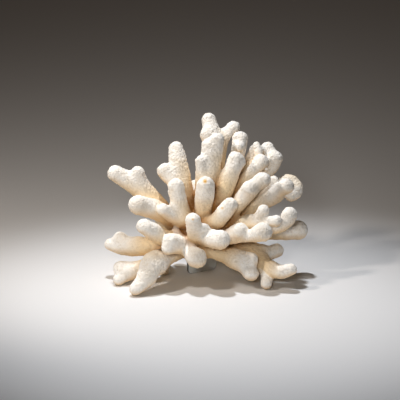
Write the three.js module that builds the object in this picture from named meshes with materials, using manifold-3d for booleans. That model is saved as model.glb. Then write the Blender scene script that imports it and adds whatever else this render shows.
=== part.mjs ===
// A cats paw coral: a bleached colony of blunt, paw-like fingers that fan out from one short trunk.
// It stands on its lowest fingertips, and its trunk is cut off flat and rests on a small clear
// acrylic stand. Millimetres, +Z up, the fan of fingers faces -Y, and the table is z = 0.
import * as THREE from "three";
import { mergeVertices } from "three/addons/utils/BufferGeometryUtils.js";
import Module from "manifold-3d";

const wasm = await Module();
wasm.setup();

// The fan of fingers looks up by this angle as the colony stands.
const LEAN = THREE.MathUtils.degToRad(17);
// Height of the middle of the trunk above the table.
const TRUNK_HEIGHT = 41;
// Height of the stand, and so of the flat cut under the trunk.
const STAND_HEIGHT = 20;
// Gap between neighbouring pieces where they meet.
const GAP = 0.35;

// How finely a finger is faceted. One slimmer than SLIM_RADIUS at its tip has fewer sides.
const SIDES = 7;
const SLIM_SIDES = 6;
const SLIM_RADIUS = 8.05;
const TRUNK_SIDES = 9;
const RING_SPACING = 36;
const DOME_ANGLES = [0.75, Math.PI / 2];
// A faceted finger of this share more radius has the girth of the round one.
const GIRTH = 1.05;

// The stand: a face plate turned to the right, with a rib behind it.
const PLATE_WIDTH = 34;
const PLATE_THICKNESS = 3;
const PLATE_CORNER = 4;
const PLATE_TURN = THREE.MathUtils.degToRad(33);
const PLATE_MIDDLE = [2.5, 17.5];
const RIB_LENGTH = 24;

// Every finger is a line of points [x, y, z, radius] from its root to the middle of its round tip,
// in the plane of the fan: x to the right, y away from the viewer, z up, from the trunk's middle.
const TRUNK = [
  [[-30, 3, -5, 12], [-3, 8, -2, 19], [26, 5, -6, 13]],
  [[2, 32, -26, 15.5], [0, 16, -10, 17]],
  [[0, 8, 0, 17], [2, 6, 22, 14]],
];

const LIMBS = {
  top_limb: [
    [[4, 8, 15, 9], [13, 12, 60, 8.8], [14, 13, 92, 9.2], [10.2, 16, 106, 8.6], [8.6, 18, 118.6, 7.3]],
    [[15, 12, 66, 7.5], [22, 16, 88, 6.5], [29, 18, 101, 6], [33, 19.5, 110.3, 6.4]],
  ],
  top_paddle: [
    [[3, -2, 28, 9], [6, -10, 58, 8.5], [7.5, -14, 80, 7.6], [8, -15, 94, 6.6]],
    [[5, -4, 40, 9], [11, -11, 62, 8.5], [14.5, -13, 82, 8], [17, -15, 97.5, 6.5]],
    [[4, -8, 45, 7], [1.5, -16, 62, 5.5], [0.3, -20, 76.5, 4.8]],
  ],
  brow_finger: [
    [[3, -5, 12, 9], [3.2, -17, 29, 8.8], [6, -29, 52.2, 9.2]],
  ],
  long_finger: [
    [[5, -4, 14, 9], [16.5, -9, 33, 8.8], [24.5, -12, 48, 9.3], [30, -14, 63, 9], [34.8, -15, 78.6, 7.5]],
    [[36, -13, 72, 5], [40.5, -13, 75.5, 4.4]],
  ],
  top_right_finger: [
    [[8, 2, 25, 8], [22, 1, 50, 7.2], [34, 3, 73, 6.5], [38.5, 4, 87, 7.2], [40, 5, 98.9, 7.9]],
    [[38, 2, 87, 5], [38.8, -5, 91, 5]],
  ],
  right_crown_finger: [
    [[18, -2, 20, 7], [36, -3, 45, 6.4], [45, -3, 58.5, 5.9], [53, -3, 67.5, 6.2], [61.3, -2, 75.8, 7.6]],
  ],
  right_crown_limb: [
    [[14, 4, 20, 8], [36, 6, 48, 7], [47, 8, 68, 6.4], [53, 11, 80, 6.3], [55.2, 12, 90.5, 6]],
    [[24, 6, 24, 8], [50, 8, 50, 7], [63, 10, 61, 6.2], [70.5, 12, 71, 6], [74.6, 13, 80.6, 7.7]],
    [[64, 12, 64, 6.2], [66.5, 16, 80, 6], [67.3, 18, 89.8, 6.9]],
  ],
  right_paw: [
    [[12, -6, 8, 8.8], [32, -13, 26.5, 7.8], [41, -16, 36.5, 7.4], [52, -19.5, 49, 7.4],
      [62.2, -21, 57.7, 8.4]],
    [[43, -17, 41, 7], [49, -23, 49.2, 8.2]],
  ],
  right_curl_limb: [
    [[18, 2, 6, 9.5], [50, 2, 29.5, 9.4], [66, 2, 39, 9.4], [76, 2, 43.5, 8.6]],
    [[68, 0, 41, 8.5], [79, -5, 47.5, 7.3], [86, -10, 51.7, 7.9]],
    [[78, 4, 47, 6], [82, 8, 56.5, 5], [91, 10, 58.5, 5.1], [97, 9, 50.5, 5.6], [91, 6, 42, 6]],
    [[68, 0, 46, 5], [73.8, -1, 57.6, 4.6]],
  ],
  right_front_finger: [
    [[2, -12, 12, 8.5], [17, -23, 17.5, 8.2], [23, -27, 24.5, 8.2], [29.8, -31, 32.8, 7.4]],
  ],
  right_knob_limb: [
    [[16, -6, 4, 7.5], [38, -15, 14, 6.6], [49, -21, 17.5, 6.4], [57.5, -25, 20, 5.8],
      [62.8, -28, 27, 6.3]],
    [[44, -18, 15, 6.5], [58, -24, 16.5, 6], [67, -28, 17, 5.6], [75.3, -31, 17.3, 5.6]],
    [[40, -10, 9, 7], [64, -14, 10, 7], [78, -17, 12, 7], [86, -20, 17, 7.4], [88.8, -21, 22.7, 8.1]],
  ],
  right_bone_limb: [
    [[12, -8, -1, 8.5], [28, -20, 2, 7.6], [39.5, -33, 6.6, 8.1]],
    [[30, -21, 2, 7.6], [49, -34, 3.2, 7.4], [61.5, -39, 6, 9.7]],
  ],
  right_far_limb: [
    [[22, 6, 0, 8.5], [60, 8, 4, 7.5], [82, 9, 6, 7.5], [98.5, 9, 7.5, 9.6]],
  ],
  lower_right_paw: [
    [[10, -2, -10, 9], [24, -10, -16, 8.6], [41, -19, -20.5, 9], [50.5, -24, -21, 7.2]],
    [[34, -15, -21, 8.8], [45, -21, -28, 8], [50.8, -25, -35, 7.4]],
  ],
  lower_right_fork: [
    [[24, 2, -8, 9], [46, 2, -13.5, 9], [64, 5, -15, 8.4], [76, 8, -12.6, 7.2]],
    [[54, 0, -18, 8], [67, -16, -28, 7.2], [80, -31, -33, 7.2], [90, -34, -30.5, 6]],
  ],
  lower_right_leg: [
    [[54, 0, -15, 8.5], [63.5, -11, -25, 8], [66.5, -19, -36, 6.4], [66, -26, -45, 5.6]],
  ],
  front_fork: [
    [[0, -8, 2, 10], [4, -22, 1, 9.3], [11, -34, 0, 8.8], [20.5, -42, -1.2, 9.3]],
    [[2, -20, 2, 9.5], [-4, -31, 6, 8.6], [-6.5, -39, 12, 7.3], [-7, -44, 19, 6.6]],
  ],
  front_low_fork: [
    [[-6, -6, -5, 9.5], [-14, -20, -7, 8.5], [-22, -30, -5, 9], [-28.8, -38, -2.6, 8]],
    [[-24, -30, -6.5, 8.5], [-32, -39, -10, 6.3]],
    [[-13, -19, -7, 8.5], [-10.5, -28, -12, 7.6], [-3.5, -36, -19, 10.4]],
  ],
  upper_left_limb: [
    [[-16, 2, 6, 10], [-42, -3, 32, 9.5], [-54, -6, 44, 10], [-63, -8, 52, 10], [-73, -10, 58, 9],
      [-84, -12, 64.2, 8]],
    [[-60, -9, 54, 7.5], [-61.5, -13, 65.5, 6.3]],
  ],
  left_shoulder_finger: [
    [[-14, -4, 10, 9], [-34, -12, 23.5, 9.2], [-48, -20, 29.5, 9.8], [-61, -28, 33, 9.9]],
  ],
  left_crown_fork: [
    [[-10, -2, 14, 9.5], [-15, -6, 38, 9.2], [-19, -8, 62, 9], [-22.3, -7, 79, 8.6], [-24, -5, 89.3, 7.3]],
    [[-18, -8, 40, 8.5], [-27, -10, 57, 7.6], [-35.3, -11, 67, 7.4]],
  ],
  left_front_fork: [
    [[-8, -6, 10, 9.5], [-19, -17, 24, 10], [-22, -23, 39, 8.6], [-24.3, -27, 51.3, 8]],
    [[-20, -17, 20, 9], [-28, -24, 23.5, 7.5], [-36, -31, 28, 6.3]],
  ],
  left_front_finger: [
    [[-14, -6, -2, 9.5], [-36, -26, 0, 8.2], [-46, -36, 6.5, 8.4], [-55, -41, 11.5, 7.8]],
  ],
  left_far_limb: [
    [[-24, 0, -6, 9.5], [-52, -3, -8, 9], [-66, 1, -8.5, 9.8], [-79, 6, -7.5, 9], [-90, 9, -6.5, 6]],
    [[-78, 4, -6, 7], [-80, 3, -0.5, 6.6]],
  ],
  lower_left_paw: [
    [[-18, 0, -9, 9.5], [-35, -19, -19, 9], [-46.5, -34, -25, 11.7], [-52, -39, -36, 10.3]],
    [[-55, -41, -42, 8], [-63.5, -45, -49.6, 6.3]],
    [[-38, -21, -22, 8], [-41, -30, -28.5, 7.8]],
  ],
  lower_left_fork: [
    [[-26, -2, -12, 9], [-56, -8, -29, 8.2], [-70, -8, -32, 8.4], [-79, -10, -30.5, 7.5]],
    [[-70, -10, -34, 7], [-81, -14, -41.5, 5.6]],
  ],
  left_heel: [
    [[-24, 2, -10, 9], [-34, 9, -22, 6.8], [-35, 17, -32.5, 4.6]],
  ],
  back_top_fork: [
    [[2, 12, 18, 9], [6, 26, 50, 8], [10, 37, 78, 7]],
    [[4, 22, 40, 7.5], [2, 42, 64, 6.5]],
    [[0, 20, 30, 6.5], [-6, 30, 53, 4.6]],
  ],
  back_left_top_fork: [
    [[-10, 10, 16, 9], [-18, 25, 42, 8], [-22, 35, 64, 7.2]],
    [[-16, 22, 36, 7.5], [-26, 40, 46, 6.5]],
  ],
  back_left_fork: [
    [[-18, 12, 4, 9], [-36, 26, 20, 8], [-50, 38, 31, 7.3]],
    [[-32, 24, 14, 7.5], [-40, 42, 12, 6.8]],
  ],
  back_left_leg: [
    [[-20, 14, -8, 9], [-40, 28, -18, 7.5], [-52, 38, -25, 7]],
  ],
  back_right_top_fork: [
    [[14, 10, 18, 9], [28, 26, 42, 8], [36, 37, 63, 7.2]],
    [[24, 24, 34, 7.5], [26, 42, 48, 6.8]],
  ],
  back_right_fork: [
    [[22, 10, 8, 9], [46, 24, 26, 8], [60, 34, 37, 7.5]],
    [[40, 22, 20, 7.5], [50, 40, 16, 6.8]],
  ],
  back_right_leg: [
    [[20, 14, -8, 9], [44, 26, -17, 7.5], [58, 36, -25.5, 7]],
  ],
  back_middle_fork: [
    [[0, 18, 6, 10], [2, 36, 20, 8.5], [8, 50, 32, 7.5]],
    [[0, 34, 16, 8], [-10, 52, 22, 7]],
  ],
  back_low_fork: [
    [[2, 22, -4, 10], [4, 38, 2, 8.5], [-5, 52, 4, 7.2]],
    [[4, 36, 0, 8], [18, 50, 0, 7]],
  ],
};

const bleachedCoral = new THREE.MeshStandardMaterial({ color: 0xefe6d8, roughness: 0.9, metalness: 0 });
const shadedCoral = new THREE.MeshStandardMaterial({ color: 0xdcc39c, roughness: 0.9, metalness: 0 });
const clearAcrylic = new THREE.MeshStandardMaterial({
  color: 0xf4f8f8,
  roughness: 0.05,
  metalness: 0,
  transparent: true,
  opacity: 0.3,
});

// The rings of a finger from root to tip, each square to the line of its points and turned on from
// the last one, so that the finger doesn't twist. A dome of smaller rings closes each end.
function ringsOf(points, grow) {
  const line = new THREE.CatmullRomCurve3(
    points.map(([x, y, z]) => new THREE.Vector3(x, y, z)), false, "centripetal");
  const spans = points.length - 1;
  const turn = new THREE.Quaternion();
  let heading = new THREE.Vector3(0, 1, 0);
  const rings = [];
  const addRing = (t, radius, lift) => {
    const tangent = line.getTangent(t);
    turn.premultiply(new THREE.Quaternion().setFromUnitVectors(heading, tangent));
    heading = tangent;
    rings.push({ centre: line.getPoint(t), turn: turn.clone(), radius, lift });
  };

  const radii = points.map((point) => point[3] * GIRTH + grow);
  for (const angle of [...DOME_ANGLES].reverse()) {
    addRing(0, radii[0] * Math.cos(angle), -radii[0] * Math.sin(angle));
  }
  for (let span = 0; span < spans; span++) {
    const reach = line.getPoint(span / spans).distanceTo(line.getPoint((span + 1) / spans));
    const steps = Math.ceil(reach / RING_SPACING);
    for (let step = 0; step < steps; step++) {
      const share = step / steps;
      addRing((span + share) / spans, THREE.MathUtils.lerp(radii[span], radii[span + 1], share), 0);
    }
  }
  for (const angle of [0, ...DOME_ANGLES]) {
    addRing(1, radii[spans] * Math.cos(angle), radii[spans] * Math.sin(angle));
  }
  return rings;
}

// A finger: a lathed profile whose rings are set square along the line of its points. grow makes it
// thicker all round.
function fingerGeometry(points, sides, grow = 0) {
  const rings = ringsOf(points, grow);
  const profile = rings.map(({ radius, lift }) => new THREE.Vector2(radius, lift));
  profile[0].x = 0;
  profile.at(-1).x = 0;
  const geometry = new THREE.LatheGeometry(profile, sides);
  const position = geometry.attributes.position;
  const corner = new THREE.Vector3();
  for (let i = 0; i < position.count; i++) {
    const { centre, turn } = rings[i % rings.length];
    corner.fromBufferAttribute(position, i).applyQuaternion(turn).add(centre);
    position.setXYZ(i, corner.x, corner.y, corner.z);
  }
  // From the plane of the fan to the colony as it stands on the table.
  return geometry.rotateX(-LEAN).translate(0, 0, TRUNK_HEIGHT);
}

// A closed geometry as a solid. Triangles that the merged poles have flattened are left out.
function solidOf(geometry) {
  geometry.deleteAttribute("normal");
  geometry.deleteAttribute("uv");
  const merged = mergeVertices(geometry, 1e-3);
  const corners = [...merged.index.array];
  const kept = [];
  for (let i = 0; i < corners.length; i += 3) {
    const [a, b, c] = corners.slice(i, i + 3);
    if (a !== b && b !== c && c !== a) kept.push(a, b, c);
  }
  const solid = new wasm.Manifold(new wasm.Mesh({
    numProp: 3,
    vertProperties: merged.attributes.position.array,
    triVerts: new Uint32Array(kept),
  }));
  return solid;
}

function unionOf(solids) {
  return solids.reduce((sum, solid) => sum.add(solid));
}

// The largest of the pieces that a cut leaves.
function largestPiece(solid) {
  return solid.decompose().reduce((best, piece) => (piece.volume() > best.volume() ? piece : best));
}

function boxSolid(low, high) {
  const size = high.map((value, axis) => value - low[axis]);
  const middle = high.map((value, axis) => (value + low[axis]) / 2);
  return solidOf(new THREE.BoxGeometry(...size).translate(...middle));
}

function meshOf(name, solid, material) {
  const { vertProperties, triVerts } = solid.getMesh();
  const geometry = new THREE.BufferGeometry();
  geometry.setAttribute("position", new THREE.BufferAttribute(new Float32Array(vertProperties), 3));
  geometry.setIndex(new THREE.BufferAttribute(new Uint32Array(triVerts), 1));
  geometry.computeVertexNormals();
  const mesh = new THREE.Mesh(geometry, material);
  mesh.name = name;
  return mesh;
}

// The coral: the trunk first, then each limb, cut back where it meets the trunk and earlier limbs.
function coralMeshes() {
  const reach = 300;
  const underTable = boxSolid([-reach, -reach, -reach], [reach, reach, 0]);
  const underTrunk = boxSolid([-reach, -reach, -reach], [reach, reach, STAND_HEIGHT + GAP]);
  const sidesOf = (points) => (points.at(-1)[3] < SLIM_RADIUS ? SLIM_SIDES : SIDES);
  const limbSolid = (fingers, grow) =>
    unionOf(fingers.map((points) => solidOf(fingerGeometry(points, sidesOf(points), grow))));
  const trunkSolid = (grow) =>
    unionOf(TRUNK.map((points) => solidOf(fingerGeometry(points, TRUNK_SIDES, grow))));

  const meshes = [meshOf("trunk", trunkSolid(0).subtract(underTrunk), shadedCoral)];
  const taken = [trunkSolid(GAP)];
  for (const [name, fingers] of Object.entries(LIMBS)) {
    const cut = taken.reduce((rest, neighbour) => rest.subtract(neighbour), limbSolid(fingers, 0));
    meshes.push(meshOf(name, largestPiece(cut.subtract(underTable)), bleachedCoral));
    taken.push(limbSolid(fingers, GAP));
  }
  return meshes;
}

// An upright plate of the stand, its lower corners rounded, its near end at the origin.
function plateSolid(width) {
  const outline = new THREE.Shape();
  outline.moveTo(0, STAND_HEIGHT);
  outline.lineTo(0, PLATE_CORNER);
  outline.absarc(PLATE_CORNER, PLATE_CORNER, PLATE_CORNER, Math.PI, 1.5 * Math.PI, false);
  outline.absarc(width - PLATE_CORNER, PLATE_CORNER, PLATE_CORNER, -0.5 * Math.PI, 0, false);
  outline.lineTo(width, STAND_HEIGHT);
  const settings = { depth: PLATE_THICKNESS, bevelEnabled: false, curveSegments: 4 };
  return new THREE.ExtrudeGeometry(outline, settings).rotateX(Math.PI / 2);
}

function standMesh() {
  const face = plateSolid(PLATE_WIDTH).translate(-PLATE_WIDTH / 2, PLATE_THICKNESS, 0);
  const rib = plateSolid(RIB_LENGTH).rotateZ(Math.PI / 2)
    .translate(-PLATE_THICKNESS / 2, PLATE_THICKNESS / 2, 0);
  const mesh = meshOf("clear_stand", solidOf(face).add(solidOf(rib)), clearAcrylic);
  mesh.rotation.z = PLATE_TURN;
  mesh.position.set(...PLATE_MIDDLE, 0);
  return mesh;
}

// The origin is on the table, under the middle of the whole specimen.
const specimen = new THREE.Group();
specimen.add(...coralMeshes(), standMesh());
const middle = new THREE.Box3().setFromObject(specimen, true).getCenter(new THREE.Vector3());
specimen.position.set(-middle.x, -middle.y, 0);

export default specimen;
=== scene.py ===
from itertools import product

import bpy
import numpy as np
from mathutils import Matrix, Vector


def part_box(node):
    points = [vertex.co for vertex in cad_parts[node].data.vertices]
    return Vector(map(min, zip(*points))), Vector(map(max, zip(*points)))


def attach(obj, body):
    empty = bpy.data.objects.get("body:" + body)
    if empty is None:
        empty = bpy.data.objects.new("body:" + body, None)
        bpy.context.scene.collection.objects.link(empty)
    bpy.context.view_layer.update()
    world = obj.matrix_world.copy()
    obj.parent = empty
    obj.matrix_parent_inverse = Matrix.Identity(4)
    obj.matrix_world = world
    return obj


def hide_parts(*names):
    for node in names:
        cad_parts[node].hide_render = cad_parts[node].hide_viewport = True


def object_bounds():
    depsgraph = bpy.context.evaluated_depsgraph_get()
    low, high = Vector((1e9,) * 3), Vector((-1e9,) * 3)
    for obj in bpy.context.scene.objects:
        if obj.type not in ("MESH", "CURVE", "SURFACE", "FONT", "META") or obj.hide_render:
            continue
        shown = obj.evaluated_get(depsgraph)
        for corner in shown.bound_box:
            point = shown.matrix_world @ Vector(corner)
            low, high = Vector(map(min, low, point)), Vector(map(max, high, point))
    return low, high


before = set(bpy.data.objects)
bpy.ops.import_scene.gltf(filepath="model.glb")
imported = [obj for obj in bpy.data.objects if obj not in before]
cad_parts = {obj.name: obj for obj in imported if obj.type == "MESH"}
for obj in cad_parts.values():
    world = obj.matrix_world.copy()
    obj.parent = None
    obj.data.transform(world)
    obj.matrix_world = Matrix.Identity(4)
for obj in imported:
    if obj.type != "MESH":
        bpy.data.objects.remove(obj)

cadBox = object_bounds()
mm = 0.001

# The colony faces the camera, and its fan of fingers looks up by lean, as the camera looks down by it.
lean = np.radians(17)

stand = {
    "height": 20,          # mm, up to the cut under the trunk
    "width": 34,
    "ribLength": 24,
    "thickness": 3,
    "corner": 4,           # radius of the lower corners
    "cornerSteps": 8,
    "edge": 0.5,           # bevel of every edge
    "turn": np.radians(33),    # of the face plate, its right end to the back
    "middle": (2.5, 17.5),     # from the trunk's middle, to the right and back
    "glueLine": 0.03,          # between the face plate and the rib
    "gap": 0.35,               # between the stand and the cut
}

camera = {
    "distance": 3.0,           # m, far enough for the photo's flat perspective
    "filmWidth": 36,           # mm
    "pictureWidth": 400,       # pixels, and at the coral one pixel is one millimetre
    "hubPixel": (200, 238),    # where the trunk's middle lies in the picture
}

# The trunk's middle in the frame's millimetres. The stand's box gives it, as the stand is placed from it.
trunkHeight = 41
standLow, standHigh = (np.array(corner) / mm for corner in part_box("clear_stand"))
halfFace = stand["width"] / 2
hub = np.array([
    standHigh[0] - halfFace * np.cos(stand["turn"]) - stand["middle"][0],
    standLow[1] + halfFace * np.sin(stand["turn"]) - stand["middle"][1],
    trunkHeight,
])


# A point [x, y, z] of the fan, x right, y back and z up along the fan, is turned about x by the lean and
# moved to the trunk's middle.
def fromFan(points):
    x, y, z = np.moveaxis(np.asarray(points, float), -1, 0)
    return np.stack([x, y * np.cos(lean) + z * np.sin(lean), z * np.cos(lean) - y * np.sin(lean)], -1) + hub


# The camera looks along the fan's own y, down by the lean, and is moved so that the trunk's middle falls on
# its pixel.
def placeCamera():
    data = bpy.data.cameras.new("camera")
    data.sensor_width = camera["filmWidth"]
    # Lens over film width is distance over picture width.
    data.lens = camera["filmWidth"] * camera["distance"] / (camera["pictureWidth"] * mm)
    data.clip_end = 50
    viewer = bpy.data.objects.new("camera", data)
    bpy.context.scene.collection.objects.link(viewer)
    up = Vector((0, np.sin(lean), np.cos(lean)))
    back = Vector((0, -np.cos(lean), np.sin(lean)))
    middle = camera["pictureWidth"] / 2
    aim = Vector(hub * mm) + up * (camera["hubPixel"][1] - middle) * mm
    aim.x += (middle - camera["hubPixel"][0]) * mm
    viewer.location = aim + back * camera["distance"]
    viewer.rotation_euler = (-back).to_track_quat("-Z", "Y").to_euler()
    bpy.context.scene.camera = viewer


placeCamera()
print("camera placed, trunk's middle at", np.round(hub, 2))

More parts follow.
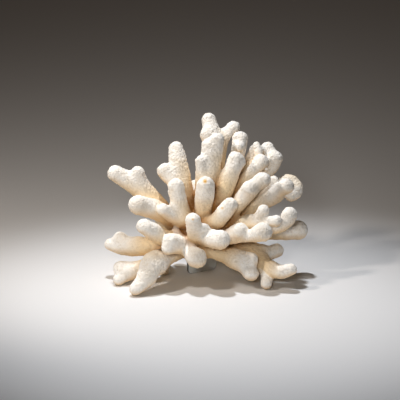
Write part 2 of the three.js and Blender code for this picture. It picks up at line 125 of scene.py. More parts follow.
# The coral. Every finger is a line of points [x, y, z, radius] in millimetres from its root to the middle
# of its round tip, in the fan. A limb's "fillet" is how softly its fingers run together, where that differs
# from the rest. The stain list holds [x, z, radius, strength]: real stains, and on right_crown_limb painted
# shade; "pitted" patches are [x, z, radius]. Both are seen from the front of the fan.
limbs = {
    "trunk": {
        "fingers": [
            [[-30, 3, -5, 12], [-3, 8, -2, 19], [26, 5, -6, 13]],
            [[2, 32, -26, 15.5], [0, 16, -10, 17]],
            [[0, 8, 0, 17], [2, 6, 22, 14]],
        ],
        "flatUnder": stand["height"] + stand["gap"],
    },
    "top_limb": {
        "fillet": 7,
        "fingers": [
            [[4, 8, 15, 9], [13, 12, 60, 8.8], [14.5, 13, 90, 8.8], [12.5, 14, 103, 8.6],
             [10.6, 16, 111, 7.9], [8.9, 18, 118.4, 7.3]],
            [[11, 11, 96, 6], [6.5, 9, 103.5, 6]],
            [[15, 12, 74, 8], [20, 14, 92, 7.5], [25, 16, 102, 6], [29, 18, 107, 6], [33, 19.5, 110.6, 6.6]],
        ],
    },
    "top_paddle": {
        "fingers": [
            [[3, -2, 28, 9], [6, -10, 58, 8.5], [7.5, -14, 80, 7.4], [7.4, -15, 92.6, 6.2]],
            [[5, -4, 40, 9], [11, -11, 62, 8.5], [14.5, -13, 82, 8], [16.8, -15, 98, 7]],
            [[4, -8, 45, 7], [1.5, -16, 62, 5.5], [0.3, -20, 76.5, 4.8]],
        ],
    },
    "brow_finger": {
        "fingers": [[[3, -5, 12, 9], [3.2, -17, 29, 8.8], [4.8, -25, 42, 9.7], [6, -29, 52.2, 9.2]]],
        "stainsAndShade": [[5, 56.5, 2.8, 1.0]],
    },
    "long_finger": {
        "fingers": [
            [[5, -4, 14, 9], [16.5, -9, 33, 8.8], [24.5, -12, 48, 9.3], [29.5, -14, 62, 9.1],
             [33, -15, 71, 8.6], [34.8, -15, 78.6, 7.5]],
            [[36, -13, 72, 5], [40.5, -13, 75.5, 4.4]],
        ],
    },
    "top_right_finger": {
        "fingers": [
            [[8, 2, 25, 8], [22, 1, 50, 7.2], [34, 3, 73, 6.5], [38.5, 4, 87, 7.2], [40, 5, 98.9, 7.9]],
            [[38, 2, 87, 5], [38.8, -5, 91, 5]],
        ],
    },
    "right_crown_finger": {
        "fingers": [
            [[18, -2, 20, 7], [36, -3, 45, 6.4], [45, -3, 58.5, 5.9], [53, -3, 67.5, 6.2],
             [61.3, -2, 75.8, 7.6]],
        ],
    },
    "right_crown_limb": {
        "fillet": 3.6,
        "fingers": [
            [[14, 4, 20, 8], [36, 6, 48, 7], [46, 8, 66, 6], [50.6, 10, 78, 6], [54, 10, 88.5, 5]],
            [[46, 5, 66, 4.5], [55.5, 4, 78, 4.4], [59, 5, 88, 4.2], [57.2, 7, 93.2, 4]],
            [[24, 6, 24, 8], [50, 8, 50, 7], [64, 10, 61, 6], [72.5, 10, 69, 5.8], [74.6, 9, 79.5, 8.1]],
            [[71, 12, 74, 6], [72.5, 13.5, 82, 6.6], [68.2, 15, 89, 7.6]],
        ],
        # These two faint ones are painted shade on the left lobe's face, not stains.
        "stainsAndShade": [[53, 84, 8, 0.3], [51, 77, 8, 0.3]],
    },
    "right_paw": {
        "fillet": 4,
        "fingers": [
            [[12, -6, 8, 8.8], [32, -13, 26.5, 7.8], [41, -16, 36.5, 7.4], [50, -19, 46.5, 7.4],
             [56, -20, 53, 7.4], [62.2, -21, 57.7, 8.4]],
            [[43, -17, 41, 7], [49, -23, 49.2, 8.2]],
        ],
        "pitted": [[60, 49, 13]],
    },
    "right_curl_limb": {
        "fillet": 3.2,
        "fingers": [
            [[18, 2, 6, 9.5], [50, 2, 29.5, 9.4], [66, 2, 39, 9.4], [76, 2, 43.5, 8.6]],
            [[68, 0, 41, 8.5], [79, -5, 47.5, 7.3], [86, -10, 51.7, 7.9]],
            [[78, 4, 47, 6], [80.5, 7, 55, 5], [86, 8, 58.8, 5], [92.3, 8, 57.6, 5.2], [97, 7, 51.5, 5.6],
             [96.5, 6, 45, 5.6], [91, 5, 42, 6]],
            [[68, 0, 46, 5], [73.8, -1, 57.6, 4.6]],
        ],
    },
    "right_front_finger": {
        "fingers": [[[2, -12, 12, 8.5], [17, -23, 17.5, 8.2], [23, -27, 24.5, 8.2], [29.8, -31, 32.8, 7.4]]],
        "stainsAndShade": [[22, 30, 1.8, 0.7]],
    },
    "right_knob_limb": {
        "fillet": 3.2,
        "fingers": [
            [[16, -6, 4, 7.5], [38, -15, 14, 6.6], [49, -21, 17.5, 6.4], [57.5, -25, 20, 5.8],
             [62.8, -28, 27, 6.3]],
            [[44, -18, 15, 6.5], [58, -24, 16.5, 6], [67, -28, 17, 5.6], [75.3, -31, 17.3, 5.6]],
            [[40, -10, 9, 7], [64, -14, 10, 7], [78, -17, 12, 7], [86, -20, 17, 7.4], [88.8, -21, 22.7, 8.1]],
        ],
        "pitted": [[58, 20, 9]],
    },
    "right_bone_limb": {
        "fillet": 3,
        "fingers": [
            [[12, -8, -1, 8.5], [28, -20, 2, 7.6], [39.5, -33, 7, 8.5]],
            [[30, -21, 2, 7.6], [50, -34, 2.6, 6.4], [61.5, -39, 6, 9.7]],
        ],
        "pitted": [[62, 7, 9]],
    },
    "right_far_limb": {
        "fingers": [[[22, 6, 0, 8.5], [60, 8.5, 4, 7.5], [82, 11, 6, 7.5], [98.5, 12.5, 7.5, 9.6]]],
    },
    "lower_right_paw": {
        "fingers": [
            [[10, -2, -10, 9], [24, -10, -16, 8.6], [41, -19, -20.5, 9], [50.5, -24, -21, 7.2]],
            [[34, -15, -21, 8.8], [45, -21, -28, 8], [50.8, -25, -35, 7.4]],
        ],
    },
    "lower_right_fork": {
        "fingers": [
            [[24, 2, -8, 9], [46, 2, -13.5, 9], [62, 4, -15, 9], [69, 6, -15, 7.6], [76, 8, -12.6, 7.2]],
            [[48, 2, -14, 9.4], [59, -6, -21, 8.8], [67, -16, -28, 7.6], [80, -31, -33, 7.2],
             [90, -34, -30.5, 6]],
        ],
    },
    "lower_right_leg": {
        "fingers": [[[55, -2, -18, 7], [63.5, -12, -27, 7], [66.5, -19, -36, 6.4], [66, -26, -45, 5.6]]],
    },
    "front_fork": {
        "fillet": 4,
        "fingers": [
            [[0, -8, 2, 10], [4, -22, 1, 9.6], [11, -34, 0, 9], [20.5, -42, -1.2, 9.6]],
            [[2, -20, 2, 9.5], [-3.5, -31, 5, 9.4], [-6, -39, 11.5, 8], [-7, -43.5, 18.4, 7.3]],
            [[-2, -29, 7, 6], [4.6, -36, 9.8, 5]],
        ],
        "stainsAndShade": [[-7, 19, 1.6, 0.8]],
    },
    "front_low_fork": {
        "fillet": 4,
        "fingers": [
            [[-6, -6, -5, 9.5], [-14, -20, -7, 8.5], [-22, -30, -5, 9], [-28.8, -38, -2.6, 8]],
            [[-24, -30, -6.5, 8.5], [-32, -39, -10, 6.3]],
            [[-13, -19, -7, 8.5], [-10.5, -28, -12, 7.6], [-3.5, -36, -19, 10.4]],
            [[-19, -25, -4, 7], [-23, -22, 4, 4], [-24.4, -21, 9, 2.7]],
        ],
        "pitted": [[-3, -20, 11]],
    },
    "upper_left_limb": {
        "fingers": [
            [[-16, 2, 6, 10], [-42, -3, 32, 9.5], [-54, -6, 44, 10], [-63, -8, 52, 10], [-73, -10, 58, 9],
             [-84, -12, 64.2, 8]],
            [[-60, -9, 54, 7.5], [-61.5, -13, 65.5, 6.3]],
        ],
    },
    "left_shoulder_finger": {
        "fingers": [[[-14, -4, 10, 9], [-34, -12, 23.5, 9.2], [-48, -20, 29.5, 9.8], [-61, -28, 33, 9.9]]],
        "pitted": [[-60, 32, 10]],
    },
    "left_crown_fork": {
        "fingers": [
            [[-10, -2, 14, 9.5], [-15, -6, 38, 9.2], [-19, -8, 62, 9], [-22.3, -7, 79, 8.6],
             [-24, -5, 89.3, 7.3]],
            [[-18, -8, 40, 8.5], [-27, -10, 57, 7.6], [-35.3, -11, 67, 7.4]],
        ],
    },
    "left_front_fork": {
        "fingers": [
            [[-8, -6, 10, 9.5], [-19, -17, 24, 10], [-22, -23, 39, 8.6], [-24.3, -27, 51.3, 8]],
            [[-20, -17, 20, 9], [-28, -24, 23.5, 7.5], [-36, -31, 28, 6.3]],
        ],
    },
    "left_front_finger": {
        "fingers": [[[-14, -6, -2, 9.5], [-36, -26, 0, 8.2], [-46, -36, 6.5, 8.4], [-55, -41, 11.5, 7.8]]],
    },
    "left_far_limb": {
        "fingers": [
            [[-24, 0, -6, 9.5], [-52, -3, -8, 9], [-66, 1, -8.5, 9.8], [-79, 6, -7.5, 9], [-90, 9, -6.5, 6]],
            [[-78, 4, -6, 7], [-80, 3, -0.5, 6.6]],
        ],
    },
    "lower_left_paw": {
        "fillet": 4,
        "fingers": [
            [[-18, 0, -9, 9.5], [-35, -19, -19, 9], [-46.5, -34, -25, 11.7], [-52, -39, -36, 10.3]],
            [[-55, -41, -42, 8], [-63.5, -45, -49.6, 6.3]],
            [[-38, -21, -22, 8], [-41, -30, -28.5, 7.8]],
        ],
        "pitted": [[-50, -32, 13]],
    },
    "lower_left_fork": {
        "fingers": [
            [[-26, -2, -12, 9], [-56, -8, -29, 8.2], [-70, -8, -32, 8.4], [-79, -10, -30.5, 7.5]],
            [[-70, -10, -34, 7], [-81, -14, -41.5, 5.6]],
        ],
    },
    "left_heel": {
        "fingers": [[[-24, 2, -10, 9], [-34, 9, -22, 6.8], [-35, 17, -32.5, 4.6]]],
    },
    "back_top_fork": {
        "fingers": [
            [[2, 12, 18, 9], [6, 26, 50, 8], [10, 37, 78, 7]],
            [[4, 22, 40, 7.5], [2, 42, 64, 6.5]],
            [[0, 20, 30, 6.5], [-6, 30, 53, 4.6]],
        ],
    },
    "back_left_top_fork": {
        "fingers": [
            [[-10, 10, 16, 9], [-18, 25, 42, 8], [-22, 35, 64, 7.2]],
            [[-16, 22, 36, 7.5], [-26, 40, 46, 6.5]],
        ],
    },
    "back_left_fork": {
        "fingers": [
            [[-18, 12, 4, 9], [-36, 26, 20, 8], [-50, 38, 31, 7.3]],
            [[-32, 24, 14, 7.5], [-40, 42, 12, 6.8]],
        ],
    },
    "back_left_leg": {
        "fingers": [[[-20, 14, -8, 9], [-40, 28, -18, 7.5], [-52, 38, -25, 7]]],
    },
    "back_right_top_fork": {
        "fingers": [
            [[14, 10, 18, 9], [28, 26, 42, 8], [36, 37, 63, 7.2]],
            [[24, 24, 34, 7.5], [26, 42, 48, 6.8]],
        ],
    },
    "back_right_fork": {
        "fingers": [
            [[22, 10, 8, 9], [46, 24, 26, 8], [60, 34, 37, 7.5]],
            [[40, 22, 20, 7.5], [50, 40, 16, 6.8]],
        ],
    },
    "back_right_leg": {
        "fingers": [[[20, 14, -8, 9], [44, 26, -17, 7.5], [58, 36, -25.5, 7]]],
    },
    "back_middle_fork": {
        "fingers": [
            [[0, 18, 6, 10], [2, 36, 20, 8.5], [8, 50, 32, 7.5]],
            [[0, 34, 16, 8], [-10, 52, 22, 7]],
        ],
    },
    "back_low_fork": {
        "fingers": [
            [[2, 22, -4, 10], [4, 38, 2, 8.5], [-5, 52, 4, 7.2]],
            [[4, 36, 0, 8], [18, 50, 0, 7]],
        ],
    },
}

coral = {
    "cell": 0.65,  # mm, the grid that the skin is drawn on
    "margin": 4,                          # mm of empty grid round the colony
    "reach": 7,                           # mm, how far from a finger its distance is worked out
    "stepsPerSpan": 4,
    "fingerFillet": 5.5,                  # mm, how softly the fingers of a limb run together
    "limbFillet": 3.6,                    # mm, how softly the limbs do
    "smoothing": 3,                       # rounds
    "swells": [(15, 0.9), (7, 0.3), (3.4, 0.22), (1.8, 0.4)],   # mm, (length, height) of the lumps
    "pores": (2.0, 0.4),                  # mm, (spacing, depth) of the tiny cups
    "poreSeed": 7,
    "reliefFrom": (0.3, 3),               # mm above the table, where the relief starts and is whole
    "flatFacing": -0.8,                   # normals on the flat cut have a z below this
    "flatBand": 1,                        # mm above the cut that count as the cut
    "underFrom": (-0.25, 0.85),           # how far down a normal points where "under" starts and is whole
    "crowdCell": 2.4,                     # mm, the coarse cells that tell how closed in a place is
    "crowdBlur": 3,                       # such cells each way
    "tipFade": 14,                        # mm
    "patchFacing": 0.2,                   # patches are on normals that point back by less than this
    "patchEdge": 1.4,                     # above 1, a patch is whole out to some way from its middle
}


# A smooth line through points: each span is the cubic that has the ends' points and slopes, and a slope
# comes from the three points around it, weighed by the square roots of their distances.
def smoothLine(points, steps):
    knots = np.array(points, float)
    knots = np.vstack([2 * knots[0] - knots[1], knots, 2 * knots[-1] - knots[-2]])
    pace = np.sqrt(np.linalg.norm(np.diff(knots[:, :3], axis=0), axis=1))[:, None]
    step = np.diff(knots, axis=0)
    across = (knots[2:] - knots[:-2]) / (pace[1:] + pace[:-1])
    slope = step[:-1] / pace[:-1] - across + step[1:] / pace[1:]
    t = np.linspace(0, 1, steps, endpoint=False)[:, None, None]
    start, end = knots[1:-2], knots[2:-1]
    startSlope, endSlope = slope[:-1] * pace[1:-1], slope[1:] * pace[1:-1]
    line = ((2 * t**3 - 3 * t**2 + 1) * start + (t**3 - 2 * t**2 + t) * startSlope
            + (3 * t**2 - 2 * t**3) * end + (t**3 - t**2) * endSlope)
    return np.vstack([line.transpose(1, 0, 2).reshape(-1, 4), knots[-2:-1]])


# The lower of two distances, less a quarter of the fillet times the square of how nearly they are equal.
def softLower(a, b, fillet):
    near = np.maximum(fillet - np.abs(a - b), 0) / fillet
    return np.minimum(a, b) - near * near * fillet / 4


# Space cut into cubes of one size, whose corners are counted from the lowest one.
class Grid:
    def __init__(self, low, high, cell):
        self.low = np.array(low, float)
        self.cell = cell
        self.size = np.ceil((np.array(high) - self.low) / cell).astype(int) + 1

    # The slices of the grid that hold a box.
    def around(self, low, high):
        first = np.clip(np.floor((low - self.low) / self.cell).astype(int), 0, self.size - 1)
        last = np.clip(np.ceil((high - self.low) / self.cell).astype(int) + 1, 1, self.size)
        return tuple(slice(a, b) for a, b in zip(first, last))

    # The grid's x, y and z in a box of it, each shaped to fill the box.
    def places(self, box):
        return [
            (self.low[axis] + self.cell * np.arange(part.start, part.stop)).astype(np.float32)
            .reshape([-1 if axis == other else 1 for other in range(3)])
            for axis, part in enumerate(box)
        ]


# A finger's field: at each place the distance to the nearest of its short straight stretches, less the
# radius there, which changes evenly along the stretch.
def fingerField(grid, box, line):
    field = np.full([part.stop - part.start for part in box], coral["reach"], np.float32)
    for start, end in zip(line[:-1], line[1:]):
        reach = max(start[3], end[3]) + coral["reach"]
        ends = np.stack([start[:3], end[:3]])
        inner = grid.around(ends.min(0) - reach, ends.max(0) + reach)
        x, y, z = grid.places(inner)
        along = (end[:3] - start[:3]).astype(np.float32)
        dx, dy, dz = (place - np.float32(first) for place, first in zip((x, y, z), start[:3]))
        share = np.clip((dx * along[0] + dy * along[1] + dz * along[2]) / max(along @ along, 1e-6), 0, 1)
        away = np.sqrt((dx - share * along[0])**2 + (dy - share * along[1])**2 + (dz - share * along[2])**2)
        away -= np.float32(start[3]) + share * np.float32(end[3] - start[3])
        local = tuple(slice(a.start - b.start, a.stop - b.start) for a, b in zip(inner, box))
        field[local] = np.minimum(field[local], away)
    return field


# A limb's fingers as smooth lines in the frame: the points are moved there and joined by cubics.
def fingerLines(piece):
    lines = []
    for points in piece["fingers"]:
        points = np.array(points, float)
        points[:, :3] = fromFan(points[:, :3])
        lines.append(smoothLine(points, coral["stepsPerSpan"]))
    return lines


# The whole colony's field, and which limb owns each place: the one whose own field is lowest there.
def growCoral(grid):
    field = np.full(grid.size, coral["reach"], np.float32)
    nearest = np.full(grid.size, coral["reach"], np.float32)
    owner = np.zeros(grid.size, np.int8)
    for number, piece in enumerate(limbs.values(), start=1):
        lines = fingerLines(piece)
        every = np.vstack(lines)
        reach = every[:, 3].max() + coral["reach"]
        box = grid.around(every[:, :3].min(0) - reach, every[:, :3].max(0) + reach)
        limb = fingerField(grid, box, lines[0])
        for line in lines[1:]:
            limb = softLower(limb, fingerField(grid, box, line), piece.get("fillet", coral["fingerFillet"]))
        if "flatUnder" in piece:
            limb = np.maximum(limb, piece["flatUnder"] - grid.places(box)[2])
        field[box] = softLower(field[box], limb, coral["limbFillet"])
        closer = limb < nearest[box]
        nearest[box][closer] = limb[closer]
        owner[box][closer] = number
    everywhere = tuple(slice(0, n) for n in grid.size)
    field = np.maximum(field, -grid.places(everywhere)[2])   # the table cuts off what would be under it
    return field, owner


# The skin: each cell of the grid whose corners don't all belong to one limb, or to none, gets a point. It is
# the mean of the places where the cell's edges cross the skin or, inside the coral, of the middles of its
# edges that change owner. Each edge that changes owner gets a face through the points of its four cells.
def drawSkin(grid, field, owner):
    label = np.where(field < 0, owner, 0).astype(np.int8)
    corners = list(product((0, 1), repeat=3))
    shape = np.array(label.shape) - 1

    def corner(values, offset):
        return values[tuple(slice(o, o + n) for o, n in zip(offset, shape))]

    mixed = np.zeros(shape, bool)
    for offset in corners[1:]:
        mixed |= corner(label, offset) != corner(label, corners[0])
    cells = np.argwhere(mixed)
    index = np.full(shape, -1, np.int32)
    index[mixed] = np.arange(len(cells))
    values = {offset: corner(field, offset)[mixed] for offset in corners}
    labels = {offset: corner(label, offset)[mixed] for offset in corners}

    crossing, crossings = np.zeros((len(cells), 3)), np.zeros(len(cells))
    seam, seams = np.zeros((len(cells), 3)), np.zeros(len(cells))
    for offset in corners:
        for axis in range(3):
            if offset[axis]:
                continue
            other = tuple(1 if axis == a else offset[a] for a in range(3))
            a, b = values[offset], values[other]
            cut = (a < 0) != (b < 0)
            share = np.where(cut, a / np.where(cut, a - b, 1), 0.5)
            place = np.tile(np.array(offset, float), (len(cells), 1))
            place[:, axis] = share
            crossing += place * cut[:, None]
            crossings += cut
            parted = labels[offset] != labels[other]
            seam += place * parted[:, None]
            seams += parted
    onSkin = crossings > 0
    mean = np.where(onSkin[:, None], crossing / np.maximum(crossings, 1)[:, None],
                    seam / np.maximum(seams, 1)[:, None])
    points = grid.low + grid.cell * (cells + mean)

    faces, inner, outer = [], [], []
    for axis in range(3):
        u, v = (axis + 1) % 3, (axis + 2) % 3
        low = [slice(1, -1)] * 3
        low[axis] = slice(0, -1)
        high = list(low)
        high[axis] = slice(1, None)
        a, b = label[tuple(low)], label[tuple(high)]
        edges = np.argwhere(a != b)
        a, b = a[a != b], label[tuple(high)][a != b]
        edges[:, u] += 1
        edges[:, v] += 1
        ring = []
        for du, dv in ((-1, -1), (0, -1), (0, 0), (-1, 0)):
            cell = edges.copy()
            cell[:, u] += du
            cell[:, v] += dv
            ring.append(index[tuple(cell.T)])
        faces.append(np.stack(ring, 1))
        inner.append(a)
        outer.append(b)
    faces, inner, outer = np.vstack(faces), np.concatenate(inner), np.concatenate(outer)
    # A face is there once for each limb that it bounds, turned to look out of it, with what lies past it.
    both = np.vstack([faces, faces[:, ::-1]])
    owners, beyond = np.concatenate([inner, outer]), np.concatenate([outer, inner])
    kept = owners > 0
    return points, onSkin, both[kept], owners[kept], beyond[kept] == 0


# The grid's box is the CAD's with the margin all round.
room = np.array([cadBox[0], cadBox[1]]) / mm + coral["margin"] * np.array([[-1], [1]])
grid = Grid(room[0], room[1], coral["cell"])
field, owner = growCoral(grid)
print("coral grown on", grid.size, "cells")
points, onSkin, faces, owners, isSkin = drawSkin(grid, field, owner)
print("skin drawn with", len(points), "points and", len(faces), "faces")


# The mean of each point's neighbours along the faces' edges, and how many it has.
def neighbourMean(values, faces, count):
    total, ways = np.zeros((count, values.shape[1])), np.zeros(count)
    for side in range(4):
        for a, b in ((faces[:, side], faces[:, side - 1]), (faces[:, side - 1], faces[:, side])):
            for column in range(values.shape[1]):
                total[:, column] += np.bincount(a, values[b, column], count)
            ways += np.bincount(a, minlength=count)
    return total / np.maximum(ways, 1)[:, None], ways > 0


# Smooths without shrinking: each round moves the points part way to their neighbours' mean and then a
# little further back.
def relax(points, faces, rounds, share=0.5, back=0.52):
    for _ in range(rounds):
        for move in (share, -back):
            mean, joined = neighbourMean(points, faces, len(points))
            points = np.where(joined[:, None], points + move * (mean - points), points)
    return points


# A point's normal is the sum of its faces' cross products of diagonals, made one long.
def normalsOf(points, faces):
    a, b, c, d = (points[faces[:, side]] for side in range(4))
    across = np.cross(c - a, d - b)
    total = sum(
        np.stack([np.bincount(faces[:, side], across[:, axis], len(points)) for axis in range(3)], 1)
        for side in range(4))
    return total / np.maximum(np.linalg.norm(total, axis=1), 1e-9)[:, None]


# A whole number from 0 to 2^32 for each cell of space, by multiplying its numbers with large odd ones and
# mixing the bits.
def scramble(cells, seed):
    mixed = np.uint32(seed * 2654435 + 1)
    for axis, odd in enumerate((73856093, 19349663, 83492791)):
        mixed = mixed ^ (cells[..., axis].astype(np.uint32) * np.uint32(odd))
    for _ in range(2):
        mixed = (mixed ^ (mixed >> np.uint32(15))) * np.uint32(2246822519)
    return mixed ^ (mixed >> np.uint32(13))


# Three shares from 0 to 1: ten bits each of a whole number, over the most that they can be.
def threeShares(code):
    return np.stack([(code >> np.uint32(bits)) & np.uint32(1023) for bits in (0, 10, 20)], -1) / 1023


# Smooth lumps of the given length, from about -1 to 1: each corner of a cell of space has a slope of its
# own, and inside the cell the corners' slopes are blended by a curve that is level at the corners.
def lumps(points, length, seed):
    places = points / length
    cells = np.floor(places).astype(np.int64)
    inside = places - cells
    ease = inside**3 * (inside * (inside * 6 - 15) + 10)
    total = np.zeros(len(points))
    for corner in product((0, 1), repeat=3):
        slope = threeShares(scramble(cells + corner, seed)) * 2 - 1
        weight = np.prod(np.where(corner, ease, 1 - ease), axis=1)
        total += weight * np.sum(slope * (inside - corner), axis=1)
    stretch = 1.6   # the blend alone mostly stays within 0.6 either way
    return total * stretch


# Cups scattered one to a cell of space: the depth falls from 1 at a cup's middle to 0 at half the spacing.
def cups(points, spacing, seed):
    places = points / spacing
    cells = np.floor(places).astype(np.int64)
    nearest = np.full(len(points), 9.0)
    for offset in product((-1, 0, 1), repeat=3):
        middle = cells + offset + threeShares(scramble(cells + offset, seed))
        nearest = np.minimum(nearest, np.linalg.norm(places - middle, axis=1))
    return np.clip(1 - 2 * nearest, 0, 1)


# 0 up to low, 1 from high on, and between them three times the square of the share less twice its cube.
def easeBetween(values, low, high):
    share = np.clip((values - low) / (high - low), 0, 1)
    return share * share * (3 - 2 * share)


# How closed in each place is: the share of coral in the space around it, averaged three times over blocks
# of a few coarse cells each way.
def closedIn(grid, field, points):
    step, blur = max(int(round(coral["crowdCell"] / grid.cell)), 1), coral["crowdBlur"]
    solid = (field[::step, ::step, ::step] < 0).astype(float)
    for _ in range(3):
        for axis in range(3):
            spread = [(blur, blur) if axis == other else (0, 0) for other in range(3)]
            padded = np.pad(solid, spread)
            count = solid.shape[axis]
            windows = (padded.take(range(first, first + count), axis) for first in range(2 * blur + 1))
            solid = sum(windows) / (2 * blur + 1)
    places = (points - grid.low) / (grid.cell * step)
    cells = np.clip(np.floor(places).astype(int), 0, np.array(solid.shape) - 2)
    inside = np.clip(places - cells, 0, 1)
    total = np.zeros(len(points))
    for corner in product((0, 1), repeat=3):
        weight = np.prod(np.where(corner, inside, 1 - inside), axis=1)
        total += weight * solid[tuple((cells + corner).T)]
    return total


# How near each point is to a fingertip of its own limb: 1 on the tip, and less by a fixed share for each
# tipFade millimetres from it.
def tipNearness(points, owners):
    nearness = np.zeros(len(points))
    for number, piece in enumerate(limbs.values(), start=1):
        mine = np.flatnonzero(owners == number)
        if piece.get("flatUnder") or not len(mine):
            continue
        for line in fingerLines(piece):
            away = np.linalg.norm(points[mine] - line[-1, :3], axis=1) - line[-1, 3]
            nearness[mine] = np.maximum(nearness[mine], np.exp(-np.maximum(away, 0) / coral["tipFade"]))
    return nearness


# Patches on the front of the fan: 1, or the patch's own strength, in the middle of each, falling evenly to 0
# at its edge.
def patchesOn(key, points, normals, owners):
    share = np.zeros(len(points))
    for number, piece in enumerate(limbs.values(), start=1):
        for x, z, radius, *strength in piece.get(key, []):
            mine = np.flatnonzero((owners == number) & (normals[:, 1] < coral["patchFacing"]))
            across = points[mine, 0] - hub[0] - x
            height = (points[mine, 1] - hub[1]) * np.sin(lean) + (points[mine, 2] - hub[2]) * np.cos(lean) - z
            away = np.sqrt(across**2 + height**2)
            inner = np.clip(coral["patchEdge"] * (1 - away / radius), 0, 1)
            share[mine] = np.maximum(share[mine], inner * (strength[0] if strength else 1))
    return share


skin = faces[isSkin]
points = relax(points, skin, coral["smoothing"])
normals = normalsOf(points, skin)
pointOwner = np.zeros(len(points), np.int8)
pointOwner[skin.ravel()] = np.repeat(owners[isSkin], 4)
# How closed in each place is: it sets where tan is painted as shade among crowded fingers.
closed = closedIn(grid, field, points)
# How far down each normal points: it sets the painted warm shade underneath.
under = easeBetween(-normals[:, 2], *coral["underFrom"])
tip = tipNearness(points, pointOwner)

# The relief, pushed out along the normals, and held back on the table and on the flat cut.
relief = sum(height * lumps(points, length, seed) for seed, (length, height) in enumerate(coral["swells"]))
poreSpacing, poreDepth = coral["pores"]
pore = cups(points, poreSpacing, coral["poreSeed"])
pitted = patchesOn("pitted", points, normals, pointOwner)
relief -= poreDepth * pore * (1 + pitted)
flatTop = limbs["trunk"]["flatUnder"] + coral["flatBand"]
flat = (normals[:, 2] < coral["flatFacing"]) & (points[:, 2] < flatTop)
relief *= easeBetween(points[:, 2], *coral["reliefFrom"]) * onSkin * ~flat
points = points + normals * relief[:, None]
points[:, 2] = np.maximum(points[:, 2], 0)
normals = normalsOf(points, skin)
# The stain marks, which on right_crown_limb are painted shade.
stainAndShade = patchesOn("stainsAndShade", points, normals, pointOwner)
print("relief on, from", round(relief.min(), 2), "to", round(relief.max(), 2), "mm")


# An sRGB hex colour as linear light: each channel is divided by 12.92 when dark, and otherwise has 0.055
# added, is divided by 1.055 and raised to 2.4.
def linear(hexColour):
    channels = np.array([int(hexColour[i:i + 2], 16) for i in (1, 3, 5)]) / 255
    bent = np.where(channels <= 0.04045, channels / 12.92, ((channels + 0.055) / 1.055)**2.4)
    return (*bent.tolist(), 1.0)


def addNode(tree, kind, settings=None, inputs=None):
    node = tree.nodes.new(kind)
    for name, value in (settings or {}).items():
        setattr(node, name, value)
    for name, value in (inputs or {}).items():
        if isinstance(value, bpy.types.NodeSocket):
            tree.links.new(value, node.inputs[name])
        else:
            node.inputs[name].default_value = value
    return node


def newMaterial(name):
    made = bpy.data.materials.new(name)
    made.use_nodes = True
    return made, made.node_tree.nodes["Principled BSDF"]


# Stony coral skeleton: aragonite grown in tiny cups and bleached in the sun. It is matt and chalky, white
# at the growing tips and cream down the fingers, with grey pitted patches. Painted warm shade lies over it: a
# warmer cream on surfaces that face down, and tan where the fingers crowd together.
bleachedCoral = {
    "shaft": "#F3DDB8",
    # Layers over it: what each follows, from where to where it comes in, how strong it gets, and its colour.
    "layers": [
        ("tip", 0.2, 0.72, 1.0, "#FEFBF6"),
        # painted warm shade on surfaces that face down
        ("under", 0.05, 1.0, 0.8, "#EBC68E"),
        # painted shade: tan where the fingers crowd together
        ("closed", 0.5, 0.73, 1.0, "#A3702F"),
        ("patches", 0.5, 0.72, 0.3, "#DCCBB0"),
        ("pitted", 0.0, 1.0, 0.4, "#C9BCA9"),
        ("speckle", 0.52, 0.72, 0.3, "#CDBC9F"),
        ("pore", 0.3, 1.0, 0.3, "#BDA888"),
        # stains on tips, and on right_crown_limb painted shade
        ("stainAndShade", 0.0, 1.0, 1.0, "#E8B75F"),
    ],
    "patches": 7.0,      # mm
    "speckle": 2.2,      # mm
    "grain": 1.3,        # mm, the cups' rims, drawn coarser than they are so that they show
    "grainDepth": 0.5,   # mm
    "grainStrength": 0.8,
    "noiseDetail": 3.0,
    "noiseRoughness": 0.6,
    "roughness": 0.9,
    "ior": 1.53,
}
# The numbers of a colour Mix node's sockets: its factor, the colour under, the colour over and the result.
mixFactor, mixUnder, mixOver, mixResult = 0, 6, 7, 2


# Each layer is mixed over the ones before it, by what it follows: an attribute of the points, or a noise
# whose scale is one over its length.
def makeCoralMaterial(look):
    made, shader = newMaterial("bleached aragonite skeleton")
    tree = made.node_tree
    place = addNode(tree, "ShaderNodeTexCoord").outputs["Object"]
    follows = {
        name: addNode(tree, "ShaderNodeAttribute", {"attribute_name": name}).outputs["Fac"]
        for name in ("tip", "under", "closed", "pore", "pitted", "stainAndShade")
    }
    for name in ("patches", "speckle", "grain"):
        follows[name] = addNode(tree, "ShaderNodeTexNoise", inputs={
            "Vector": place, "Scale": 1 / (look[name] * mm), "Detail": look["noiseDetail"],
            "Roughness": look["noiseRoughness"]}).outputs["Fac"]
    colour = linear(look["shaft"])
    for name, low, high, strength, tint in look["layers"]:
        share = addNode(tree, "ShaderNodeMapRange", inputs={
            "Value": follows[name], "From Min": low, "From Max": high, "To Max": strength}).outputs["Result"]
        colour = addNode(tree, "ShaderNodeMix", {"data_type": "RGBA"}, {
            mixFactor: share, mixUnder: colour, mixOver: linear(tint)}).outputs[mixResult]
    bump = addNode(tree, "ShaderNodeBump", inputs={
        "Height": follows["grain"], "Strength": look["grainStrength"], "Distance": look["grainDepth"] * mm})
    tree.links.new(colour, shader.inputs["Base Color"])
    tree.links.new(bump.outputs["Normal"], shader.inputs["Normal"])
    shader.inputs["Roughness"].default_value = look["roughness"]
    shader.inputs["IOR"].default_value = look["ior"]
    return made


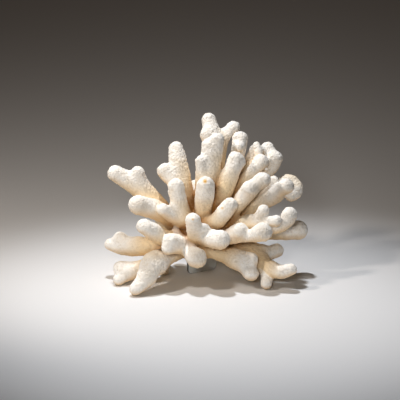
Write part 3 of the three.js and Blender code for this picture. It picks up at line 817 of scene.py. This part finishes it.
# A mesh from rows of points in millimetres and faces of four, with the given normals and point attributes.
def pieceMesh(name, points, faces, normals=None, attributes=None):
    mesh = bpy.data.meshes.new(name)
    mesh.vertices.add(len(points))
    mesh.vertices.foreach_set("co", (points * mm).astype(np.float32).ravel())
    mesh.loops.add(faces.size)
    mesh.loops.foreach_set("vertex_index", faces.astype(np.int32).ravel())
    mesh.polygons.add(len(faces))
    mesh.polygons.foreach_set("loop_start", np.arange(0, faces.size, 4, dtype=np.int32))
    for key, values in (attributes or {}).items():
        mesh.attributes.new(key, "FLOAT", "POINT").data.foreach_set("value", values.astype(np.float32))
    mesh.update(calc_edges=True)
    mesh.polygons.foreach_set("use_smooth", np.ones(len(faces), bool))
    if normals is not None:
        mesh.normals_split_custom_set_from_vertices(normals.astype(np.float32))
    made = bpy.data.objects.new(name, mesh)
    bpy.context.scene.collection.objects.link(made)
    return made


coralMaterial = makeCoralMaterial(bleachedCoral)
for number, node in enumerate(limbs, start=1):
    used, own = np.unique(faces[owners == number], return_inverse=True)
    piece = pieceMesh(node + "_coral", points[used], own.reshape(-1, 4), normals[used], {
        "tip": tip[used], "under": under[used], "closed": closed[used], "pore": pore[used],
        "pitted": pitted[used], "stainAndShade": stainAndShade[used]})
    piece.data.materials.append(coralMaterial)
    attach(piece, "root")
    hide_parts(node)
print(len(limbs), "pieces of coral")


# One plate of the stand: its outline, with two round lower corners, is carried through the thickness in
# four steps, set in by the edge at the first and the last, and closed by a flat face at each end.
def plateRings(width):
    corner, edge = stand["corner"], stand["edge"]
    bend = np.linspace(0, np.pi / 2, stand["cornerSteps"])
    rings = []
    for inset, depth in ((edge, 0), (0, edge), (0, stand["thickness"] - edge), (edge, stand["thickness"])):
        left = corner - (corner - inset) * np.stack([np.cos(bend), np.sin(bend)], 1)
        right = np.stack([width - left[::-1, 0], left[::-1, 1]], 1)
        top = np.array([[width - inset, stand["height"] - inset], [inset, stand["height"] - inset]])
        outline = np.vstack([left, right, top])
        rings.append(np.stack([outline[:, 0], np.full(len(outline), float(depth)), outline[:, 1]], 1))
    return np.stack(rings)


# The face plate is centred on the stand's middle, the rib goes back from it, and both are turned about z.
def makeStand():
    turn = np.array([[np.cos(stand["turn"]), -np.sin(stand["turn"]), 0],
                     [np.sin(stand["turn"]), np.cos(stand["turn"]), 0], [0, 0, 1]])
    face = plateRings(stand["width"]) - [stand["width"] / 2, 0, 0]
    rib = plateRings(stand["ribLength"])[..., [1, 0, 2]] * [-1, 1, 1]
    rib += [stand["thickness"] / 2, stand["thickness"] + stand["glueLine"], 0]
    points, polygons, edgeShadeIndex, first = [], [], [], 0
    # the face plate's edges get the painted dark shade
    for rings, cut in ((face, 1), (rib, 0)):   # only the face's edges are seen to be dark
        count, around = rings.shape[:2]
        index = first + np.arange(count * around).reshape(count, around)
        quads = np.stack([index[:-1], np.roll(index[:-1], -1, 1), np.roll(index[1:], -1, 1), index[1:]], -1)
        polygons += quads.reshape(-1, 4).tolist() + [index[0, ::-1].tolist(), index[-1].tolist()]
        edgeShadeIndex += [cut] * quads.shape[0] * quads.shape[1] + [0, 0]
        points.append(rings.reshape(-1, 3))
        first += count * around
    points = np.vstack(points) @ turn.T + [hub[0] + stand["middle"][0], hub[1] + stand["middle"][1], 0]
    mesh = bpy.data.meshes.new("standClear")
    mesh.from_pydata((points * mm).tolist(), [], polygons)
    mesh.polygons.foreach_set("material_index", edgeShadeIndex)
    mesh.update()
    made = bpy.data.objects.new("standClear", mesh)
    bpy.context.scene.collection.objects.link(made)
    return made


# Acrylic: clear and glossy where the sheet was cast. Its cut edges are painted dark grey: painted shade for
# the little light that they let out.
castAcrylic = {"colour": "#F4F8F8", "roughness": 0.03, "clear": 0.4, "ior": 1.49}
darkEdgeAcrylic = {"colour": "#4A5358", "roughness": 0.3, "clear": 0.2, "ior": 1.49}


def makeAcrylic(name, look):
    made, shader = newMaterial(name)
    shader.inputs["Base Color"].default_value = linear(look["colour"])
    shader.inputs["Roughness"].default_value = look["roughness"]
    shader.inputs["IOR"].default_value = look["ior"]
    shader.inputs["Transmission Weight"].default_value = look["clear"]
    return made


standPiece = makeStand()
standPiece.data.materials.append(makeAcrylic("clear cast acrylic", castAcrylic))
standPiece.data.materials.append(makeAcrylic("acrylic edge painted dark", darkEdgeAcrylic))
standPiece.visible_shadow = False   # light goes through it
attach(standPiece, "root")
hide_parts("clear_stand")
print("stand made")

floor = {
    "half": 6.0,             # m, half its side
    "colour": "#E6E7E9",
    "roughness": 0.8,
    "specular": 0.2,
}


def makeFloor():
    side = floor["half"]
    mesh = bpy.data.meshes.new("floor")
    corners = [(-side, -side, 0), (side, -side, 0), (side, side, 0), (-side, side, 0)]
    mesh.from_pydata(corners, [], [(0, 1, 2, 3)])
    made = bpy.data.objects.new("floor", mesh)
    bpy.context.scene.collection.objects.link(made)
    painted, shader = newMaterial("painted matt board")
    shader.inputs["Base Color"].default_value = linear(floor["colour"])
    shader.inputs["Roughness"].default_value = floor["roughness"]
    shader.inputs["Specular IOR Level"].default_value = floor["specular"]
    mesh.materials.append(painted)


# The key and side lamps stand in line with the way that the photo's shadows fall. Each lamp is aimed at a
# place on the floor. Distances, sizes and aims are in metres, cones in degrees and powers in watts.
studio = {
    "keyLamp": {"towards": (-0.09, 0.24, 1), "distance": 1.8, "aim": (0.02, -0.125), "power": 100,
                "size": 0.05, "cone": 23.6, "blend": 1.0, "colour": "#FAFCFF"},
    "sideLamp": {"towards": (-0.8, -0.41, 1), "distance": 0.6, "aim": (0.192, 0.448), "power": 6.6,
                 "size": 0.035, "cone": 114, "blend": 0.74, "colour": "#FFF4E8"},
    # A low lamp in front fills the fingers that face the viewer, and hardly reaches the floor.
    "frontLamp": {"towards": (-0.12, -1, 0.42), "distance": 1.7, "aim": (0, 0.15), "power": 32,
                  "size": 0.15, "cone": 19, "blend": 1.0, "colour": "#FFFAF2"},
}
sky = {"colour": "#2E2721", "strength": 1.0}


# A lamp stands at its distance from the trunk's middle, in its direction, and is turned to its aim.
def addLamp(name, lamp):
    data = bpy.data.lights.new(name, "SPOT")
    data.energy = lamp["power"]
    data.shadow_soft_size = lamp["size"]
    data.spot_size = np.radians(lamp["cone"])
    data.spot_blend = lamp["blend"]
    data.color = linear(lamp["colour"])[:3]
    made = bpy.data.objects.new(name, data)
    made.location = Vector(hub * mm) + Vector(lamp["towards"]).normalized() * lamp["distance"]
    made.rotation_euler = (Vector((*lamp["aim"], 0)) - made.location).to_track_quat("-Z", "Y").to_euler()
    bpy.context.scene.collection.objects.link(made)


def makeSky():
    world = bpy.data.worlds.new("sky")
    world.use_nodes = True
    background = world.node_tree.nodes["Background"]
    background.inputs["Color"].default_value = linear(sky["colour"])
    background.inputs["Strength"].default_value = sky["strength"]
    bpy.context.scene.world = world


makeFloor()
for name, lamp in studio.items():
    addLamp(name, lamp)
makeSky()
bpy.context.scene.view_settings.view_transform = "Standard"
print("studio lit")
